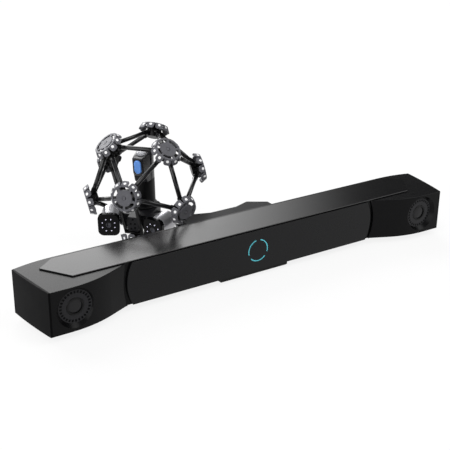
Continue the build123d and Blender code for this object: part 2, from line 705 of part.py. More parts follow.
def tab_place(number):
    """Where a marker tab sits on its hub, with local X around, Y outwards in slope."""
    angle = 360.0 / TAB_COUNT * number
    tilt = Rot(0, 90 - TAB_ANGLE, 0) * Rot(0, 0, 90)
    return Rot(0, 0, angle) * Pos(MARKER_RING_R, 0, MARKER_PLANE_R) * tilt


def make_hub():
    """One hub about the Z axis: cap disc, five spokes, front ring and ten marker tabs."""
    top = CAP_FACE_R
    hub = disc_z(0, 0, CAP_R, top - CAP_T_HUB, top)
    hub = chamfer(hub.faces().sort_by(Axis.Z)[-1].edges(), CAP_EDGE)
    hub -= disc_z(0, 0, CAP_RING_R, top - CAP_RING_SINK, top + 1)
    hub += disc_z(0, 0, CAP_RING_R - CAP_RING_W, top - CAP_T_HUB, top)
    hub += disc_z(0, 0, RING_R, top - RING_T, top) - disc_z(0, 0, SLOT_R, top - RING_T - 1, top + 1)
    for number in range(SPOKE_COUNT):
        spoke = block(CAP_R - 1, SLOT_R + 1, -SPOKE_W / 2, SPOKE_W / 2, top - CAP_T_HUB, top - SPOKE_SINK)
        hub += Rot(0, 0, 360.0 / SPOKE_COUNT * number) * spoke
    tab_face = Rectangle(TAB_W, TAB_FRONT + TAB_REAR)
    tab_face = Pos(0, (TAB_FRONT - TAB_REAR) / 2) * tab_face
    tab_face = fillet(tab_face.vertices().sort_by(Axis.Y)[:2], TAB_CORNER)
    tab = extrude(tab_face, TAB_T, dir=(0, 0, -1))
    for number in range(TAB_COUNT):
        hub += tab_place(number) * tab
    hub -= disc_z(0, 0, MARKER_RING_R + TAB_REAR, top + SHORT, top + TAB_FRONT)
    return hub


def make_dots():
    """The ten round reflective dots of one hub."""
    dot = Pos(0, 0, DOT_T / 2) * Cylinder(DOT_R, DOT_T)
    return [tab_place(number) * dot for number in range(TAB_COUNT)]


def make_core(name):
    """The black core behind a cap: a boss with one stub towards each rod."""
    normal = hubs[name]
    boss = hub_plane(name).location * disc_z(0, 0, CORE_R, CORE_INNER_R, CAP_FACE_R - CAP_T_HUB)
    for a, b in edges:
        skipped = (a, b) in OPEN_EDGES or (b, a) in OPEN_EDGES
        is_front_frame = {a, b} == {"front", "bottom_front"}
        if name not in (a, b) or (skipped and not is_front_frame):
            continue
        other = hubs[b if a == name else a]
        start = normal * NODE_R
        along = (other * NODE_R - start).normalized()
        length = FRAME_STUB_L if is_front_frame else STUB_L
        stub = Plane(origin=start, z_dir=along).location * disc_z(0, 0, STUB_R, 0, length)
        boss += stub
    return boss


def make_rod(a, b):
    """A carbon tube between the stubs of two hubs."""
    start = hubs[a] * NODE_R
    end = hubs[b] * NODE_R
    along = end - start
    place = Plane(origin=start, z_dir=along).location
    tube = disc_z(0, 0, ROD_R, STUB_L, along.length - STUB_L)
    return place * (tube - disc_z(0, 0, ROD_R - ROD_WALL, 0, along.length))


yaw = math.radians(CAGE_YAW)
pitch = math.radians(CAGE_PITCH)


def height_in_world(direction):
    """The vertical part of a direction of the cage, once the cage is pitched forward."""
    return direction.Y * math.sin(pitch) + direction.Z * math.cos(pitch)


def rim_depth(name):
    """How far the lowest point of a hub's front ring lies below the cage's middle."""
    down = -height_in_world(hubs[name])
    return down * CAP_FACE_R + math.sqrt(1 - down ** 2) * RING_R


cage_z = rim_depth("bottom_front")
lean = Vector(math.sin(yaw) * math.sin(pitch), -math.cos(yaw) * math.sin(pitch), math.cos(pitch))
cage_plane = Plane(origin=(CAGE_X, CAGE_Y, cage_z), x_dir=(math.cos(yaw), math.sin(yaw), 0), z_dir=lean)
scanner_place = cage_plane.location
scanner = {}

hub_shape = make_hub()
dot_shapes = make_dots()
all_dots = []
cores = []
for number, name in enumerate(names, start=1):
    place = hub_plane(name).location
    scanner[f"marker_hub_{number:02d}"] = place * hub_shape
    all_dots += [place * dot for dot in dot_shapes]
    cores.append(make_core(name))
upper = [edge for edge in rod_edges if any(end.startswith("top") for end in edge)]
lower = [edge for edge in rod_edges if edge not in upper]
scanner["marker_dots"] = rigid_group(all_dots)
scanner["cage_rods_upper"] = rigid_group(make_rod(*edge) for edge in upper)
scanner["cage_rods_lower"] = rigid_group(make_rod(*edge) for edge in lower)

# Front frame: two bars and two cross pieces between the front and bottom front hubs
start = hubs["front"] * NODE_R
along = hubs["bottom_front"] * NODE_R - start
frame_plane = Plane(origin=start, x_dir=(1, 0, 0), z_dir=Vector(1, 0, 0).cross(along))
frame_length = along.length - 2 * FRAME_STUB_L
frame_face = Rectangle(FRAME_OUTER, frame_length)
frame_face -= Rectangle(FRAME_OUTER - 2 * FRAME_BAR, frame_length - 2 * FRAME_CROSS)
frame_face = Pos(0, along.length / 2) * frame_face
front_frame = extrude(frame_plane * frame_face, FRAME_T / 2, both=True)
long_edges = front_frame.edges().filter_by(lambda e: e.length > frame_length - 1)
front_frame = chamfer(long_edges, FRAME_EDGE)
scanner["front_frame"] = front_frame

# Camera heads: flat rounded boxes on a tube, turned inwards, each with a lens and eight emitters
lenses = []
emitters = []
tube_places = []
for name, side in (("left", -1), ("right", 1)):
    place = Pos(side * HEAD_X, HEAD_FRONT_Y, HEAD_Z) * Rot(0, 0, -side * HEAD_TOE_ANGLE)
    tube_places.append(place)
    head = upright(RectangleRounded(HEAD_W, HEAD_H, HEAD_R), 0, 0, HEAD_L)
    head = chamfer(head.faces().sort_by(Axis.Y)[0].edges(), HEAD_CHAMFER)
    head -= disc_y(0, 0, PIPE_R - PIPE_WALL, HEAD_WALL, HEAD_L + 1)
    head -= disc_y(0, 0, SCAN_LENS_R + FIT, -1, HEAD_WALL + 1)
    for number in range(SCAN_LED_COUNT):
        a = math.radians(360.0 / SCAN_LED_COUNT * (number + 0.5))
        px = SCAN_LED_RING_R * math.cos(a)
        pz = SCAN_LED_RING_R * math.sin(a)
        head -= disc_y(px, pz, SCAN_LED_R + FIT, -1, HEAD_WALL + 1)
        emitters.append(place * disc_y(px, pz, SCAN_LED_R, SCAN_LED_SINK, SCAN_LED_SINK + SCAN_LED_L))
    scanner[f"camera_head_{name}"] = place * head
    lens = disc_y(0, 0, SCAN_LENS_R, SCAN_LENS_SINK, SCAN_LENS_L)
    wide, narrow, depth = SCAN_LENS_CONE
    lens -= Pos(0, SCAN_LENS_SINK + depth / 2, 0) * Rot(-90, 0, 0) * Cone(wide, narrow, depth)
    lenses.append(place * lens)
    pipe = disc_y(0, 0, PIPE_R, HEAD_L, HEAD_L + PIPE_L)
    pipe = fillet(pipe.faces().sort_by(Axis.Y)[-1].edges(), PIPE_END_R)
    pipe -= disc_y(0, 0, PIPE_R - PIPE_WALL, HEAD_L - 1, HEAD_L + PIPE_L - PIPE_WALL)
    scanner[f"head_pipe_{name}"] = place * pipe
scanner["scan_lenses"] = rigid_group(lenses)
scanner["scan_leds"] = rigid_group(emitters)

# Chassis: the hollow lower body, with a saddle for each tube and a leg to each bottom hub
chassis = block(-CHASSIS_HALF_W, CHASSIS_HALF_W, CHASSIS_FRONT_Y, CHASSIS_BACK_Y,
                CHASSIS_BOTTOM, CHASSIS_TOP)
chassis = fillet(chassis.edges().filter_by(Axis.Y), CHASSIS_R)


def beyond(name, radius):
    """Everything outside a plane across a hub's axis, as far out as the chassis can reach."""
    reach = 4 * CHASSIS_HALF_W
    return hub_plane(name).location * disc_z(0, 0, reach, radius, radius + reach)


chassis -= beyond("bottom_front", CHASSIS_CUT_R)
chassis_hollow = block(-CHASSIS_HALF_W + CHASSIS_WALL, CHASSIS_HALF_W - CHASSIS_WALL,
                       CHASSIS_FRONT_Y + CHASSIS_FRONT_WALL, CHASSIS_BACK_Y + 1,
                       CHASSIS_BOTTOM + CHASSIS_WALL, CHASSIS_TOP - CHASSIS_WALL)
chassis_hollow = fillet(chassis_hollow.edges().filter_by(Axis.Y), CHASSIS_R - CHASSIS_WALL)
saddle_y = HEAD_FRONT_Y + SADDLE_BACK
chassis += block(-HEAD_X, HEAD_X, saddle_y, saddle_y + SADDLE_L, HEAD_Z - SADDLE_H / 2, HEAD_Z + SADDLE_H / 2)
for place in tube_places:
    chassis -= place * disc_y(0, 0, PIPE_R, HEAD_L, HEAD_L + PIPE_L)
for name, side in (("bottom_left", -1), ("bottom_right", 1)):
    root = Vector(side * LEG_START[0], LEG_START[1], LEG_START[2])
    way = hubs[name] * (CORE_INNER_R + LEG_R) - root
    leg = Plane(origin=root, z_dir=way).location * disc_z(0, 0, LEG_R, 0, way.length)
    chassis += leg - beyond(name, CORE_INNER_R)
chassis += hub_plane("bottom_front").location * disc_z(0, 0, LEG_R, FRONT_LEG_START, CORE_INNER_R)
chassis -= chassis_hollow
scanner["scanner_chassis"] = chassis
board_z = CHASSIS_BOTTOM + CHASSIS_WALL
half = SCAN_BOARD_W / 2
board_y0 = CHASSIS_FRONT_Y + CHASSIS_FRONT_WALL + SCAN_BOARD_GAP
scan_board = block(-half, half, board_y0, board_y0 + SCAN_BOARD_L, board_z, board_z + BOARD_T)
for half, start, length, height in SCAN_CHIPS:
    y0 = board_y0 + start
    scan_board += block(-half, half, y0, y0 + length, board_z + BOARD_T, board_z + BOARD_T + height)
scanner["scanner_board"] = scan_board

# Laser module between the heads, with its small exit windows
module = block(-MODULE_HALF_W, MODULE_HALF_W, MODULE_FRONT_Y, CHASSIS_FRONT_Y, MODULE_BOTTOM, MODULE_TOP)
module = fillet(module.edges().filter_by(Axis.Y), MODULE_CORNER_R)
module = chamfer(module.faces().sort_by(Axis.Y)[0].edges(), MODULE_EDGE)
module -= block(-MODULE_HALF_W + MODULE_WALL, MODULE_HALF_W - MODULE_WALL, MODULE_FRONT_Y + MODULE_WALL,
                CHASSIS_FRONT_Y + 1, MODULE_BOTTOM + MODULE_WALL, MODULE_TOP - MODULE_WALL)
module_z = (MODULE_BOTTOM + MODULE_TOP) / 2
spots = []
for x, rise in LASER_SPOTS:
    z = module_z + rise
    module -= disc_y(x, z, LASER_R + FIT / 2, MODULE_FRONT_Y - 1, MODULE_FRONT_Y + MODULE_WALL + 1)
    spots.append(disc_y(x, z, LASER_R, MODULE_FRONT_Y + LASER_SINK, MODULE_FRONT_Y + MODULE_WALL))
scanner["laser_module"] = module
scanner["laser_windows"] = rigid_group(spots)

# Rear cover of the chassis with the cable socket
cover = block(-CHASSIS_HALF_W, CHASSIS_HALF_W, CHASSIS_BACK_Y, CHASSIS_BACK_Y + CHASSIS_COVER_T,
              CHASSIS_BOTTOM, CHASSIS_TOP)
cover = fillet(cover.edges().filter_by(Axis.Y), CHASSIS_R)
plug_z = (CHASSIS_BOTTOM + CHASSIS_TOP) / 2
plug_mouth = CHASSIS_BACK_Y + SCAN_PLUG_L
cover += disc_y(0, plug_z, SCAN_PLUG_R, CHASSIS_BACK_Y, plug_mouth)
cover -= disc_y(0, plug_z, SCAN_PLUG_BORE, plug_mouth - SCAN_PLUG_DEPTH, plug_mouth + 1)
scanner["scanner_socket"] = cover

# Handle: a grip with a collar on the chassis, and a head with the trigger and the round key
def grip_face(margin):
    """The oval plan of the handle, wider by a margin all round."""
    return Pos(0, HANDLE_Y) * Ellipse(HANDLE_W / 2 + margin, HANDLE_D / 2 + margin)


def head_face(margin):
    """The plan of the handle's head: the oval with a narrower nose in front of it."""
    share = (NOSE_END_Y - HANDLE_Y) / (HANDLE_D / 2)
    wide = HANDLE_W / 2 * math.sqrt(1 - share ** 2) + margin
    narrow = NOSE_HALF_W + margin
    nose_y = 2 * TRIGGER_FACET[1][0]
    slope = (wide - narrow) / (NOSE_END_Y - TRIGGER_FACET[1][0])
    tip = narrow + slope * (nose_y - TRIGGER_FACET[1][0])
    nose = Polygon((-wide, NOSE_END_Y), (-tip, nose_y), (tip, nose_y), (wide, NOSE_END_Y), align=None)
    return nose + grip_face(margin)


def shoulders(inset):
    """A long bar along Y with two round upper edges, smaller by an inset: it rounds the head's sides."""
    half = HANDLE_W / 2 - inset
    bar = block(-half, half, -HANDLE_D, HANDLE_D, 0, HEAD_ROOF_Z - inset)
    upper_edges = bar.edges().filter_by(Axis.Y).sort_by(Axis.Z)[-2:]
    return fillet(upper_edges, SHOULDER_R - inset)


grip = prism(grip_face(0), CHASSIS_TOP, HANDLE_SEAM)
collar = prism(grip_face(COLLAR_OUT), CHASSIS_TOP, CHASSIS_TOP + COLLAR_T)
collar = chamfer(collar.faces().sort_by(Axis.Z)[-1].edges(), COLLAR_EDGE)
grip += collar
grip -= prism(grip_face(-HANDLE_WALL), CHASSIS_TOP + COLLAR_T, HANDLE_SEAM + 1)
scanner["handle_grip"] = grip

head_profile = [(HANDLE_Y - HANDLE_D / 2, HANDLE_SEAM), HEAD_CHIN, *TRIGGER_FACET, (HEAD_ROOF_Y, HEAD_ROOF_Z)]
head_profile += [HEAD_BACK, (HEAD_BACK[0], HANDLE_SEAM)]
side_plane = Plane(origin=(0, 0, 0), x_dir=(0, 1, 0), z_dir=(1, 0, 0))
side_face = side_plane * Polygon(*head_profile, align=None)
head_block = extrude(side_face, HANDLE_W, both=True) & prism(head_face(0), 0, 2 * HEAD_ROOF_Z)
head_block = fillet(head_block.edges().filter_by(lambda e: e.center().Z > HANDLE_SEAM + 1), HEAD_EDGE_R)
head_block &= shoulders(0)
inner_face = offset(side_face, -HEAD_BLOCK_WALL, kind=Kind.INTERSECTION)
head_cavity = extrude(inner_face, HANDLE_W, both=True) & prism(head_face(-HEAD_BLOCK_WALL), 0, 2 * HEAD_ROOF_Z)
head_cavity &= shoulders(HEAD_BLOCK_WALL)
wire_way = block(-WIRE_HALF_W, WIRE_HALF_W, HANDLE_Y - WIRE_HALF_L, HANDLE_Y + WIRE_HALF_L,
                 HANDLE_SEAM - 1, HANDLE_SEAM + WIRE_H)


def facet_plane(facet, height):
    """A plane on a facet of the head that faces the hand, at a height."""
    low = Vector(0, *facet[0])
    slope = Vector(0, *facet[1]) - low
    share = (height - low.Z) / slope.Z
    return Plane(origin=low + slope * share, x_dir=(1, 0, 0), z_dir=Vector(0, -slope.Z, slope.Y))


def push_piece(plane, outline, depth, proud, travel, edge_r):
    """A piece that slides along a facet's normal, with its well and the block around the well."""
    well_depth = depth + travel + RUN_GAP
    around = extrude(plane * outline(WELL_WALL), -well_depth - WELL_FLOOR)
    mouth = plane * outline(RUN_GAP)
    well = extrude(mouth, -well_depth) + extrude(mouth, 2 * proud)
    face = plane * outline(0)
    piece = extrude(face, -depth) + extrude(face, proud)
    front = piece.faces().sort_by(Axis(plane.origin, plane.z_dir))[-1]
    return fillet(front.edges(), edge_r), well, around


def trigger_outline(margin):
    """The trigger seen from the front, wider by a margin all round."""
    return Rot(0, 0, 90) * SlotCenterToCenter(TRIGGER_H - TRIGGER_W, TRIGGER_W + 2 * margin)


def key_outline(margin):
    """The key seen from above, wider by a margin all round."""
    return Ellipse(KEY_HALF_W + margin, KEY_HALF_L + margin)


# The trigger slides along the normal of the head's front face
trigger_plane = facet_plane(TRIGGER_FACET, TRIGGER_Z)
trigger, trigger_well, around_trigger = push_piece(
    trigger_plane, trigger_outline, TRIGGER_L - TRIGGER_PROUD, TRIGGER_PROUD, TRIGGER_TRAVEL, TRIGGER_EDGE_R)

# The domed key on the head's roof
key_plane = Plane(origin=(0, KEY_Y, HEAD_ROOF_Z), x_dir=(1, 0, 0), z_dir=(0, 0, 1))
key, key_well, around_key = push_piece(
    key_plane, key_outline, KEY_L - KEY_PROUD, KEY_PROUD, KEY_TRAVEL, KEY_EDGE_R)

head_cavity = head_cavity - around_trigger - around_key
handle_head = head_block - head_cavity - wire_way - trigger_well - key_well
scanner["handle_head"] = handle_head
scanner["trigger"] = trigger
scanner["function_key"] = key
scanner["hub_cores"] = rigid_group(cores)

for name, shape in scanner.items():
    parts[name] = scanner_place * shape

# Rest pads: rubber feet under the two rear bottom hubs, cut to the rims that they carry
pads = []
for name in ("bottom_left", "bottom_right"):
    number = names.index(name) + 1
    normal = cage_plane.from_local_coords(hubs[name]) - cage_plane.origin
    across = (Vector(0, 0, -1) - normal * Vector(0, 0, -1).dot(normal)).normalized()
    low = cage_plane.origin + normal * (CAP_FACE_R - RING_T / 2) + across * (RING_R - PAD_INSET)
    pad = disc_z(low.X, low.Y, PAD_R, 0, low.Z + PAD_BITE)
    pads.append(pad - parts[f"marker_hub_{number:02d}"] - parts["marker_dots"])
parts["rest_pads"] = rigid_group(pads)

os.makedirs("parts", exist_ok=True)
for name, shape in parts.items():
    export_step(shape, f"parts/{name}.step")
print(len(parts), "nodes")
print("cage middle", round(CAGE_X, 2), round(CAGE_Y, 2), round(cage_z, 2))
for name, plane in (("trigger", trigger_plane), ("key", key_plane)):
    world = cage_plane.from_local_coords(plane.z_dir) - cage_plane.origin
    print(name, "moves along", [round(-v, 5) for v in world])
mouth = cage_plane.from_local_coords(Vector(0, plug_mouth, plug_z))
print("scanner's cable socket", [round(v, 3) for v in mouth])
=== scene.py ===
import math

import bpy
import numpy as np
from mathutils import Matrix


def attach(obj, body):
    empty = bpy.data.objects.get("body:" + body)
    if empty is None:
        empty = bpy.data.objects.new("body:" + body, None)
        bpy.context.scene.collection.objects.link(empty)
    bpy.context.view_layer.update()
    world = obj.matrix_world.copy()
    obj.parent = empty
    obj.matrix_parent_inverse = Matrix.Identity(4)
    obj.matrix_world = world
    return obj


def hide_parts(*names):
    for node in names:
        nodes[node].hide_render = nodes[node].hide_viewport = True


# %% [markdown]
# # A tracked laser scanner set
# The set is a long two-camera tracker bar and a hand-held scanner in a cage of
# marker hubs. Its exact solids come packed from the CAD step, in metres, and this
# file dresses them: it gives each one the finish of the real material, and makes
# the pieces whose look needs more than a plain solid, which are the woven tubes.

# %% Load the solids and remember their box
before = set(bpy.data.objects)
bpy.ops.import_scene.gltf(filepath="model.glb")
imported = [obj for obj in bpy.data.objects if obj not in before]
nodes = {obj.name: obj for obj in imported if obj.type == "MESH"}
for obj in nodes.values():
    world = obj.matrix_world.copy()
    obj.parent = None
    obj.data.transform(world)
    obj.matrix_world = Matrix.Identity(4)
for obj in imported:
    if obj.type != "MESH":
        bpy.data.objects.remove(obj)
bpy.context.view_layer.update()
MM = 0.001

# %% [markdown]
# ## The camera
# A photograph fixes its own camera: the lines of the bar and the places of the
# hubs agree for only one position, direction and focal length. The camera could be
# dragged about until it looks right. It is put there with a rotation matrix whose
# columns are its right, up and backward directions, because that leaves nothing to
# trial and error.

# %% Put the camera where the photograph was taken
CAMERA_PLACE = np.array([-1092.6, -1587.3, 930.7]) * MM
CAMERA_YAW = 0.5803
CAMERA_PITCH = 0.4066
CAMERA_ROLL = 0.0111
SENSOR_MM = 36.0
FOCAL_PIXELS = 962.49
FRAME_PIXELS = 450.0


def camera_axes(yaw, pitch, roll):
    """Right, up and back: forward is yawed from +Y to +X and pitched down, then rolled."""
    forward = np.array([math.sin(yaw) * math.cos(pitch), math.cos(yaw) * math.cos(pitch), -math.sin(pitch)])
    level = np.array([math.cos(yaw), -math.sin(yaw), 0.0])
    above = np.cross(level, forward)
    right = math.cos(roll) * level + math.sin(roll) * above
    up = -math.sin(roll) * level + math.cos(roll) * above
    return right, up, -forward


lens = bpy.data.cameras.new("photo_camera")
lens.sensor_width = SENSOR_MM
lens.lens = SENSOR_MM * FOCAL_PIXELS / FRAME_PIXELS
camera = bpy.data.objects.new("photo_camera", lens)
bpy.context.scene.collection.objects.link(camera)
turned = np.eye(4)
turned[:3, :3] = np.array(camera_axes(CAMERA_YAW, CAMERA_PITCH, CAMERA_ROLL)).T
turned[:3, 3] = CAMERA_PLACE
camera.matrix_world = Matrix(turned.tolist())
bpy.context.scene.camera = camera
print("lens", round(lens.lens, 1), "mm")

# %% [markdown]
# ## Nodes and colours
# A Blender material is a small graph. One function adds any node to it, which
# keeps every material readable as a list of what it is made of. Colours are
# written as the hex values that a screen shows, and one function turns them into
# the linear light that the renderer works with.


# %% Helpers for materials
def linear(hex_colour):
    """sRGB hex to linear: v/12.92 below 0.04045, else ((v+0.055)/1.055)^2.4."""
    v = np.array([int(hex_colour[i:i + 2], 16) for i in (1, 3, 5)]) / 255.0
    light = np.where(v <= 0.04045, v / 12.92, ((v + 0.055) / 1.055) ** 2.4)
    return (*light.tolist(), 1.0)


def add(tree, kind, wires=(), **values):
    """Add a node; values set its settings or sockets, wires join (output, socket) pairs to it."""
    made = tree.nodes.new(kind)
    for name, value in values.items():
        if hasattr(made, name):
            setattr(made, name, value)
        else:
            made.inputs[name.replace("_", " ")].default_value = value
    for source, socket in wires:
        tree.links.new(source, made.inputs[socket])
    return made


def surface(name, colour, **values):
    """A new material with one Principled shader, and its graph."""
    made = bpy.data.materials.new(name)
    made.use_nodes = True
    tree = made.node_tree
    tree.nodes.clear()
    shader = add(tree, "ShaderNodeBsdfPrincipled", Base_Color=linear(colour), **values)
    add(tree, "ShaderNodeOutputMaterial", [(shader.outputs[0], "Surface")])
    return made, tree, shader


def per_metre(size_mm):
    """Texture scale whose features are about this many millimetres apart."""
    return 1.0 / (size_mm * MM)


WHITE = linear("#ffffff")
print("the grey #808080 gives back", round(linear("#808080")[0], 3), "of the light")

# %% [markdown]
# ## What a coated or moulded surface looks like
# Paint, anodised metal and moulded plastic are never quite even: they have a fine
# grain that softens the highlight, and slow changes of gloss where they were
# handled. Image textures could show both, but they need a UV map. Noise in the
# object's own coordinates needs none, and stays sharp close up. A slow noise drives
# the roughness and a small change of colour, a fine one a bump of real height.

# %% A grained surface
PATCH_MM = 30.0


def grained(name, dark, light, rough, spread, grain_mm, bump_mm, specular=0.5, metallic=0.0):
    """Colour from dark to light and roughness rough +- spread by slow noise, bump by fine noise."""
    made, tree, shader = surface(name, dark, Specular_IOR_Level=specular, Metallic=metallic)
    place = add(tree, "ShaderNodeTexCoord")
    slow = add(tree, "ShaderNodeTexNoise", [(place.outputs["Object"], "Vector")],
               Scale=per_metre(PATCH_MM), Detail=4.0, Roughness=0.6)
    fine = add(tree, "ShaderNodeTexNoise", [(place.outputs["Object"], "Vector")],
               Scale=per_metre(grain_mm), Detail=2.0)
    colour = add(tree, "ShaderNodeMix", [(slow.outputs[0], "Factor")], data_type="RGBA")
    colour.inputs[6].default_value = linear(dark)
    colour.inputs[7].default_value = linear(light)
    gloss = add(tree, "ShaderNodeMapRange", [(slow.outputs[0], "Value")],
                To_Min=rough - spread, To_Max=rough + spread)
    bump = add(tree, "ShaderNodeBump", [(fine.outputs[0], "Height")], Strength=1.0, Distance=bump_mm * MM)
    tree.links.new(colour.outputs[2], shader.inputs["Base Color"])
    tree.links.new(gloss.outputs[0], shader.inputs["Roughness"])
    tree.links.new(bump.outputs[0], shader.inputs["Normal"])
    return made


def dress(finish, *names):
    """Give whole solids one finish."""
    for name in names:
        slots = nodes[name].data.materials
        slots.clear()
        slots.append(finish)
    print(finish.name, "on", len(names), "solids")


print("patches of gloss", PATCH_MM, "mm apart")

# %% [markdown]
# ## Finishes of the tracker
# The bar is an aluminium extrusion with a black powder coat, the plate on top and
# the front panel are smoother, and the end caps and the pod at the back are moulded
# plastic. All are black, so what tells them apart is how they mirror the room. One
# graph with different sizes of grain and gloss gives each of them.
#
# Their specular level is below the usual 0.5. The paper under the set is shown
# plain white, also in mirrors, and would wash a black coat out at a low angle.

# %% Coats of the bar
# Powder coat: satin, with grains of half a millimetre that blur every mirror image.
powder_coat = grained("powder_coated_aluminium", "#0b0b0c", "#0f0f10", rough=0.26, spread=0.03,
                      grain_mm=0.5, bump_mm=0.004, specular=0.09)
# Sprayed satin paint on a flat plate: smooth enough to show the soft box behind it.
plate_paint = grained("satin_painted_plate", "#0b0b0c", "#0f0f10", rough=0.16, spread=0.02,
                      grain_mm=0.5, bump_mm=0.001, specular=0.2)
# Satin acrylic: as flat as the plate, but duller and faintly blue.
panel_acrylic = grained("satin_acrylic_panel", "#0c0c0e", "#101012", rough=0.28, spread=0.04,
                        grain_mm=0.5, bump_mm=0.001, specular=0.2)
# Moulded ABS: dull, and the part of the bar that reflects least.
cap_abs = grained("moulded_abs_cap", "#060607", "#09090a", rough=0.5, spread=0.06,
                  grain_mm=0.7, bump_mm=0.01, specular=0.04)
# ABS from a spark eroded mould: a coarse dull grain that looks a little lighter.
pod_abs = grained("spark_textured_abs", "#101011", "#151517", rough=0.5, spread=0.05,
                  grain_mm=0.8, bump_mm=0.03, specular=0.1)
# Black anodised aluminium, bead blasted first: very dark and almost without a mirror image.
mount_anodised = grained("black_anodised_block", "#040404", "#080809", rough=0.45, spread=0.05,
                         grain_mm=0.4, bump_mm=0.01, specular=0.2)
dress(powder_coat, "bar_housing", "base_cover")
dress(plate_paint, "top_plate")
dress(panel_acrylic, "front_panel")
dress(cap_abs, "end_cap_left", "end_cap_right")
dress(pod_abs, "rear_pod")
dress(mount_anodised, "mount_block", "lens_ring_left", "lens_ring_right",
      "lens_barrel_left", "lens_barrel_right")

# %% [markdown]
# The camera windows are an infrared filter plastic: nearly black to the eye and
# polished. The emitters in their pockets are darker squares. The lens glass has a
# coating that takes most of the mirror image away. Either could be glass that light
# passes through, but all that would show is a dark inside, so both are opaque.

# %% Windows, emitters, lenses and lights
TEAL = "#4fb3bf"
# Polished filter acrylic: a dark grey depth under a soft mirror image.
filter_plastic = grained("infrared_filter_acrylic", "#1c1c1f", "#202023", rough=0.22, spread=0.03,
                         grain_mm=0.6, bump_mm=0.002, specular=0.2)
# Dark epoxy over an emitter chip: blacker and duller than the window around it.
emitter_epoxy = grained("dark_epoxy_emitter", "#020202", "#050506", rough=0.4, spread=0.05,
                        grain_mm=0.6, bump_mm=0.01, specular=0.05)
# Coated glass: a small clear highlight on near black.
coated_glass = surface("coated_lens_glass", "#1e1e20", Roughness=0.12, Specular_IOR_Level=0.2)[0]
# Milky light guide with a lamp behind it: an even teal that also glows.
light_guide = surface("lit_light_guide", TEAL, Roughness=0.35,
                      Emission_Color=linear(TEAL), Emission_Strength=0.35)[0]
dress(filter_plastic, "camera_window_left", "camera_window_right")
dress(emitter_epoxy, "camera_leds")
dress(coated_glass, "lens_glass_left", "lens_glass_right")
dress(light_guide, "status_light_arcs")

# %% [markdown]
# Inside and underneath are plain workshop materials. They show little or not at
# all, so the same grained surface is enough for every one of them.

# %% Inner and small parts
# Milled aluminium: light grey metal with a soft highlight.
milled = grained("milled_aluminium", "#a8a9ab", "#b8b9bb", rough=0.35, spread=0.05,
                 grain_mm=0.6, bump_mm=0.01, metallic=1.0)
# Turned brass: yellow metal, brighter than the milled part.
brass = grained("turned_brass", "#b08d45", "#c9a75a", rough=0.28, spread=0.05,
                grain_mm=0.5, bump_mm=0.01, metallic=1.0)
# Zinc plated steel: a darker, uneven grey metal.
zinc = grained("zinc_plated_steel", "#8c8e91", "#9fa1a4", rough=0.3, spread=0.06,
               grain_mm=0.5, bump_mm=0.01, metallic=1.0)
# Solder mask on a circuit board: dark green and half glossy.
board = grained("solder_masked_board", "#0f3d24", "#155030", rough=0.4, spread=0.05,
                grain_mm=0.9, bump_mm=0.02)
# Moulded PBT, as in most sockets: black and satin.
socket_pbt = grained("moulded_pbt_socket", "#0e0e0f", "#161617", rough=0.45, spread=0.05,
                     grain_mm=0.6, bump_mm=0.01)
# Satin polycarbonate: dark grey, so that the button stands out from the pod.
button_pc = grained("satin_polycarbonate_button", "#3c3c40", "#46464a", rough=0.35, spread=0.05,
                    grain_mm=0.6, bump_mm=0.01)
# Moulded rubber: black without a mirror image.
rubber = grained("moulded_rubber", "#0e0e0e", "#171717", rough=0.8, spread=0.05,
                 grain_mm=0.7, bump_mm=0.03)
dress(milled, "optics_beam")
dress(brass, "thread_insert")
dress(zinc, "mount_screws", "cover_screws")
dress(board, "main_board", "sensor_boards", "scanner_board")
dress(socket_pbt, "power_socket", "data_socket")
dress(button_pc, "power_button")
dress(rubber, "rest_pads")

# %% [markdown]
# ## Finishes of the scanner
# The marker hubs are glass filled nylon in grey, their cores black. The camera
# heads are high gloss black, the tubes behind them bright anodised silver, and the
# handle is soft-touch black below its dark grey head. The trigger is blue, so that
# a finger finds it. The dots throw light back to where it comes from, which a plain
# shader can't do, so a weak glow keeps them lighter than what is round them.

# %% Coats of the scanner
LILAC = "#ece9ff"
# Glass filled nylon: dull grey, with the fine grain that the glass fibres leave.
hub_nylon = grained("grey_filled_nylon", "#606065", "#6a6a6f", rough=0.42, spread=0.05,
                    grain_mm=0.6, bump_mm=0.012, specular=0.15)
# The same nylon in black, a little smoother.
core_nylon = grained("black_filled_nylon", "#060606", "#0a0a0b", rough=0.34, spread=0.05,
                     grain_mm=0.6, bump_mm=0.01, specular=0.15)
# High gloss ABS from a polished mould: deep black with clear mirror images.
piano_black = grained("high_gloss_black_abs", "#030304", "#060607", rough=0.14, spread=0.03,
                      grain_mm=0.6, bump_mm=0.002, specular=0.1)
# Bright anodised aluminium: silver, half metal and half the clear layer on it.
silver_pipe = grained("bright_anodised_aluminium", "#b4b4b8", "#c2c2c6", rough=0.3, spread=0.04,
                      grain_mm=0.4, bump_mm=0.002, metallic=0.5)
# Dark grey ABS: satin, a step lighter than the black parts.
module_abs = grained("dark_grey_abs", "#151517", "#1c1c1f", rough=0.36, spread=0.05,
                     grain_mm=0.6, bump_mm=0.012, specular=0.15)
# Soft-touch paint: black and velvety, with a wide dim highlight.
soft_touch = grained("soft_touch_grip", "#0a0a0b", "#101011", rough=0.5, spread=0.05,
                     grain_mm=0.6, bump_mm=0.015, specular=0.15)
# Satin ABS: dark grey, with a clear light edge on its rounded shoulders.
head_abs = grained("satin_grey_abs", "#1c1c1f", "#242428", rough=0.26, spread=0.04,
                   grain_mm=0.6, bump_mm=0.006, specular=0.3)
# Blue ABS: coloured right through, satin.
trigger_abs = grained("blue_abs_trigger", "#6aa4fb", "#77aeff", rough=0.4, spread=0.04,
                      grain_mm=0.6, bump_mm=0.01)
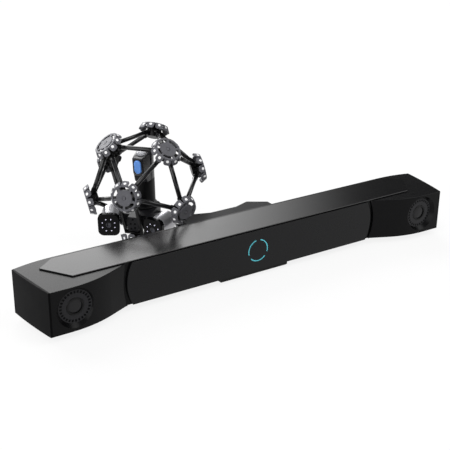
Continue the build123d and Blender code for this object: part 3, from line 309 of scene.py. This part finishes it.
# Light grey plastic with a gloss: its dome catches a small bright highlight.
key_abs = grained("glossy_grey_key", "#c0c2c8", "#cccdd2", rough=0.15, spread=0.03,
                  grain_mm=0.6, bump_mm=0.004)
# Film over glass beads: pale and matt, with the weak glow.
reflective_film = surface("reflective_film_dot", "#f0f0f0", Roughness=0.5,
                          Emission_Color=WHITE, Emission_Strength=0.2)[0]
# Clear epoxy over a white emitter: a pale lilac that glows a little.
white_emitter = surface("white_emitter", LILAC, Roughness=0.3,
                        Emission_Color=linear(LILAC), Emission_Strength=0.3)[0]
# Small lenses without much coating: dark grey with a bright highlight.
scan_glass = surface("scanner_lens_glass", "#3c3c44", Roughness=0.1)[0]
hub_names = sorted(name for name in nodes if name.startswith("marker_hub"))
dress(hub_nylon, *hub_names)
dress(core_nylon, "hub_cores", "front_frame")
dress(piano_black, "camera_head_left", "camera_head_right")
dress(silver_pipe, "head_pipe_left", "head_pipe_right")
dress(module_abs, "laser_module", "scanner_chassis", "scanner_socket")
dress(soft_touch, "handle_grip")
dress(head_abs, "handle_head")
dress(trigger_abs, "trigger")
dress(key_abs, "function_key")
dress(reflective_film, "marker_dots")
dress(white_emitter, "scan_leds")
dress(emitter_epoxy, "laser_windows")
dress(scan_glass, "scan_lenses")

# %% [markdown]
# ## Where the cage's corners are
# The marker hubs sit on the corners of an icosahedron, a solid with twenty equal
# triangles. Its corners lie in four rings of three, and the third ring from the top
# has no hub at the back, because a hand goes in there. The places could be copied
# as a table of points. Directions from the middle say the same in two angles, and
# one matrix turns and leans them all as the scanner stands.

# %% Directions of the hubs
CAGE_MIDDLE = np.array([-103.5, 261.0, 133.56]) * MM
CAGE_YAW = math.radians(-47.8)
CAGE_PITCH = math.radians(4.0)
NEAR_EQUATOR = 10.81
NEAR_POLE = 52.62


def ray(azimuth, elevation):
    """Unit vector: azimuth from forward (-Y) towards +X, elevation upwards."""
    a, e = math.radians(azimuth), math.radians(elevation)
    return [math.sin(a) * math.cos(e), -math.cos(a) * math.cos(e), math.sin(e)]


HUBS = {
    "top_back": ray(180, NEAR_POLE),
    "top_left": ray(-60, NEAR_POLE),
    "top_right": ray(60, NEAR_POLE),
    "front": ray(0, NEAR_EQUATOR),
    "right": ray(120, NEAR_EQUATOR),
    "left": ray(-120, NEAR_EQUATOR),
    "low_right": ray(60, -NEAR_EQUATOR),
    "low_left": ray(-60, -NEAR_EQUATOR),
    "bottom_front": ray(0, -NEAR_POLE),
    "bottom_right": ray(120, -NEAR_POLE),
    "bottom_left": ray(-120, -NEAR_POLE),
}
turn = np.array([[math.cos(CAGE_YAW), -math.sin(CAGE_YAW), 0],
                 [math.sin(CAGE_YAW), math.cos(CAGE_YAW), 0], [0, 0, 1]])
lean = np.array([[1, 0, 0], [0, math.cos(CAGE_PITCH), -math.sin(CAGE_PITCH)],
                 [0, math.sin(CAGE_PITCH), math.cos(CAGE_PITCH)]])
CAGE_TURN = turn @ lean


def in_cage(points_mm):
    """Points drawn about the cage's middle in millimetres, put into the model in metres."""
    return np.asarray(points_mm) * MM @ CAGE_TURN.T + CAGE_MIDDLE


print(len(HUBS), "hubs around", np.round(CAGE_MIDDLE, 4))

# %% [markdown]
# ## Woven carbon tubes
# The rods are carbon tubes with a woven outer layer under clear lacquer. The plain
# solid is right in size, but its look is the weave, which has to run along and
# around each tube, and noise in the object's coordinates can't do that. So each
# tube is made again as a grid of points, one direction around it and one along it,
# and the same two numbers are kept as its UV map in millimetres.


# %% Surfaces on a grid
def mesh_from(name, points, faces, uv=None):
    """A mesh from arrays: points n by 3, faces m by 4 or as lists, uv one pair for each face corner."""
    made = bpy.data.meshes.new(name)
    made.from_pydata(np.asarray(points).tolist(), [], [list(f) for f in faces])
    if uv is not None:
        layer = made.uv_layers.new(name="UVMap")
        layer.data.foreach_set("uv", np.asarray(uv, np.float32).ravel())
    made.polygons.foreach_set("use_smooth", np.ones(len(made.polygons), bool))
    made.update()
    obj = bpy.data.objects.new(name, made)
    bpy.context.scene.collection.objects.link(obj)
    return obj


def axis_frame(direction):
    """Two unit vectors across a direction and the direction itself, right-handed."""
    w = np.asarray(direction, float) / np.linalg.norm(direction)
    helper = np.array([0.0, 0.0, 1.0]) if abs(w[2]) < 0.9 else np.array([1.0, 0.0, 0.0])
    u = np.cross(helper, w)
    u /= np.linalg.norm(u)
    return u, np.cross(w, u), w


def lathe(profile, start, direction, count):
    """Turn a closed profile of (radius, height) about an axis: x = r cos t, y = r sin t, z = h.

    Returns points, quads and UV in millimetres: distance around, distance along the profile."""
    profile = np.asarray(profile, float)
    rows = len(profile)
    u, v, w = axis_frame(direction)
    t = np.arange(count) * 2 * math.pi / count
    r, h = profile[:, 0][:, None], profile[:, 1][:, None]
    ring = r[..., None] * (np.cos(t)[None, :, None] * u + np.sin(t)[None, :, None] * v)
    points = np.asarray(start) + ring + h[..., None] * w
    i, j = np.meshgrid(np.arange(rows), np.arange(count), indexing="ij")
    i2, j2 = (i + 1) % rows, (j + 1) % count
    quads = np.stack([i * count + j, i * count + j2, i2 * count + j2, i2 * count + j], -1)
    steps = np.linalg.norm(np.diff(profile, axis=0, append=profile[:1]), axis=1)
    along = np.concatenate([[0.0], np.cumsum(steps)])
    around = np.linspace(0, 2 * math.pi * profile[:, 0].max(), count + 1)
    a, b = i.ravel(), j.ravel()
    corners = [(b, a), (b + 1, a), (b + 1, a + 1), (b, a + 1)]
    uv = np.stack([np.stack([around[m], along[n]], -1) for m, n in corners], 1)
    return points.reshape(-1, 3), quads.reshape(-1, 4), uv.reshape(-1, 2)


def gather(shapes):
    """Join (points, quads, uv) shapes into one, with the quads' numbers moved on."""
    starts = np.cumsum([0] + [len(s[0]) for s in shapes[:-1]])
    points = np.concatenate([s[0] for s in shapes])
    quads = np.concatenate([s[1] + n for s, n in zip(shapes, starts)])
    return points, quads, np.concatenate([s[2] for s in shapes])


print("across an upright tube run", *(np.round(v, 2) for v in axis_frame((0, 0, 1))[:2]))

# %% [markdown]
# Corners of an icosahedron are neighbours when the cosine of the angle between
# them is 1 / sqrt(5), so the rods need no list. Only the three edges at the front
# bottom that have no rod are named.

# %% Rods between the hubs
ROD_R = 5.2
ROD_BORE = 4.0
ROD_EDGE = 0.3
ROD_SIDES = 32
NODE_R = 131.0
STUB_L = 30.0
NEIGHBOUR_COS = 1 / math.sqrt(5)
ANGLE_SLACK = 0.02
BARE = [{"front", "bottom_front"}, {"low_left", "bottom_front"}, {"low_right", "bottom_front"}]


def rod(a, b):
    """A hollow tube on the line from hub a to hub b, cut short by the stubs at both ends."""
    start, end = (np.array(HUBS[n]) * NODE_R for n in (a, b))
    along = (end - start) / np.linalg.norm(end - start)
    first, length = start + along * STUB_L, np.linalg.norm(end - start) - 2 * STUB_L
    wall = [(ROD_BORE, 0.0), (ROD_R - ROD_EDGE, 0.0), (ROD_R, ROD_EDGE),
            (ROD_R, length - ROD_EDGE), (ROD_R - ROD_EDGE, length), (ROD_BORE, length)]
    points, quads, uv = lathe(wall, first, along, ROD_SIDES)
    return in_cage(points), quads, uv


ordered = list(HUBS)
near = [(a, b) for k, a in enumerate(ordered) for b in ordered[k + 1:]
        if abs(np.dot(HUBS[a], HUBS[b]) - NEIGHBOUR_COS) < ANGLE_SLACK and {a, b} not in BARE]
upper = [pair for pair in near if any(n.startswith("top") for n in pair)]
lower = [pair for pair in near if pair not in upper]
rods = {}
for name, pairs in (("carbon_rods_upper", upper), ("carbon_rods_lower", lower)):
    rods[name] = mesh_from(name, *gather([rod(*pair) for pair in pairs]))
    print(name, len(pairs), "rods,", len(rods[name].data.polygons), "faces")

# %% [markdown]
# A twill weave is two sets of flat strands that pass over two and under two, one
# step further in each row, which gives the diagonal lines. In the UV map that is
# a wave along the sum of both directions. The real strands are about 2 mm wide;
# under the clear lacquer they differ only a little in shade and gloss.

# %% Carbon twill under lacquer
STRAND_MM = 2.0
STRAND_DARK = "#0a0a0b"
STRAND_LIGHT = "#18181a"
# The lacquer is the coat: a clear mirror image over the satin of the strands.
carbon, tree, shader = surface("lacquered_carbon_twill", STRAND_DARK, Specular_IOR_Level=0.15,
                               Coat_Weight=0.6, Coat_Roughness=0.1)
uv_map = add(tree, "ShaderNodeUVMap", uv_map="UVMap")
split = add(tree, "ShaderNodeSeparateXYZ", [(uv_map.outputs[0], "Vector")])
both = add(tree, "ShaderNodeMath", [(split.outputs[0], 0), (split.outputs[1], 1)], operation="ADD")
strands = add(tree, "ShaderNodeMath", [(both.outputs[0], 0)], operation="MULTIPLY")
strands.inputs[1].default_value = math.pi / STRAND_MM
wave = add(tree, "ShaderNodeMath", [(strands.outputs[0], 0)], operation="SINE")
shade = add(tree, "ShaderNodeMapRange", [(wave.outputs[0], "Value")], From_Min=-1.0, From_Max=1.0)
weave = add(tree, "ShaderNodeMix", [(shade.outputs[0], "Factor")], data_type="RGBA")
weave.inputs[6].default_value = linear(STRAND_DARK)
weave.inputs[7].default_value = linear(STRAND_LIGHT)
gloss = add(tree, "ShaderNodeMapRange", [(shade.outputs[0], "Value")], To_Min=0.26, To_Max=0.4)
tree.links.new(weave.outputs[2], shader.inputs["Base Color"])
tree.links.new(gloss.outputs[0], shader.inputs["Roughness"])
for name, node in (("carbon_rods_upper", "cage_rods_upper"), ("carbon_rods_lower", "cage_rods_lower")):
    rods[name].data.materials.append(carbon)
    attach(rods[name], "scanner")
    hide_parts(node)
print(carbon.name, "strands", STRAND_MM, "mm wide")

# %% [markdown]
# ## Light and ground
# The set stands on white paper in a studio. The paper is white to the camera, and
# also in mirrors and through glass, which Light Path tells apart. Only a share of
# it is lit for real and keeps the shadow. To the light that it throws back on the
# object it is grey, so that the sides that face down stay dark, as they do above a
# studio table. The sheet is so wide that the dark room hardly shows past its edge,
# and it lies just below the lowest solid, so that no face lies in it.

# %% Ground
GROUND_REACH = 60.0
GROUND_DROP = 0.5 * MM
PLAIN_WHITE = 0.85
PAPER_SEEN = "#f6f6f6"
PAPER_BOUNCE = "#7a7a7a"
square = [(-GROUND_REACH, -GROUND_REACH, 0), (GROUND_REACH, -GROUND_REACH, 0),
          (GROUND_REACH, GROUND_REACH, 0), (-GROUND_REACH, GROUND_REACH, 0)]
ground = mesh_from("white_ground", square, [(0, 1, 2, 3)])
# Uncoated paper: white and without any mirror image.
paper, tree, shader = surface("white_paper", PAPER_SEEN, Roughness=0.9, Specular_IOR_Level=0.0)
path = add(tree, "ShaderNodeLightPath")
seen = add(tree, "ShaderNodeMath", [(path.outputs["Is Camera Ray"], 0), (path.outputs["Is Glossy Ray"], 1)])
seen_all = add(tree, "ShaderNodeMath", [(seen.outputs[0], 0), (path.outputs["Is Transmission Ray"], 1)],
               use_clamp=True)
share = add(tree, "ShaderNodeMapRange", [(seen_all.outputs[0], "Value")], To_Max=PLAIN_WHITE)
sheet = add(tree, "ShaderNodeMix", [(seen_all.outputs[0], "Factor")], data_type="RGBA")
sheet.inputs[6].default_value = linear(PAPER_BOUNCE)
sheet.inputs[7].default_value = linear(PAPER_SEEN)
tree.links.new(sheet.outputs[2], shader.inputs["Base Color"])
plain = add(tree, "ShaderNodeEmission", Color=WHITE, Strength=1.0)
mixed = add(tree, "ShaderNodeMixShader",
            [(share.outputs[0], 0), (shader.outputs[0], 1), (plain.outputs[0], 2)])
tree.links.new(mixed.outputs[0], tree.nodes["Material Output"].inputs["Surface"])
ground.data.materials.append(paper)
ground.location.z = -GROUND_DROP
print("paper", 2 * GROUND_REACH, "m square")

# %% [markdown]
# A black object shows little of its own colour: what is seen on it is the room,
# mirrored. So the room is mostly dark, with soft boxes: a wide one on the left, one
# behind, whose mirror image fades along the top of the bar, a wide weak one
# overhead and a small one high on the right for the edges. They could be area
# lamps. In the world their edges fade out, and so do their mirror images. Together
# they light a level sheet about 1.3 times as strongly as a plain white room does.

# %% Soft boxes in the world
DARK_ROOM = 0.06
SOFT_BOXES = [
    # direction from the object, full inside this angle, gone at this one, radiance
    ((-0.88, -0.36, 0.32), 22.0, 46.0, 2.7),
    ((0.05, 0.90, 0.44), 20.0, 36.0, 4.6),
    ((-0.10, 0.05, 1.00), 20.0, 50.0, 0.5),
    ((0.50, -0.42, 0.76), 12.0, 22.0, 3.6),
]
world = bpy.data.worlds.new("studio")
world.use_nodes = True
bpy.context.scene.world = world
tree = world.node_tree
tree.nodes.clear()
place = add(tree, "ShaderNodeTexCoord")
room = None
for direction, full, gone, radiance in SOFT_BOXES:
    aim = np.array(direction) / np.linalg.norm(direction)
    towards = add(tree, "ShaderNodeVectorMath", [(place.outputs["Generated"], 0)], operation="DOT_PRODUCT")
    towards.inputs[1].default_value = aim.tolist()
    box = add(tree, "ShaderNodeMapRange", [(towards.outputs["Value"], "Value")],
              interpolation_type="SMOOTHSTEP", From_Min=math.cos(math.radians(gone)),
              From_Max=math.cos(math.radians(full)), To_Max=radiance)
    if room is None:
        box.inputs["To Min"].default_value = DARK_ROOM
        room = box
    else:
        room = add(tree, "ShaderNodeMath", [(room.outputs[0], 0), (box.outputs[0], 1)])
tent = add(tree, "ShaderNodeBackground", [(room.outputs[0], "Strength")], Color=WHITE)
add(tree, "ShaderNodeOutputWorld", [(tent.outputs[0], "Surface")])
bpy.context.scene.view_settings.view_transform = "Standard"
print(len(SOFT_BOXES), "soft boxes")
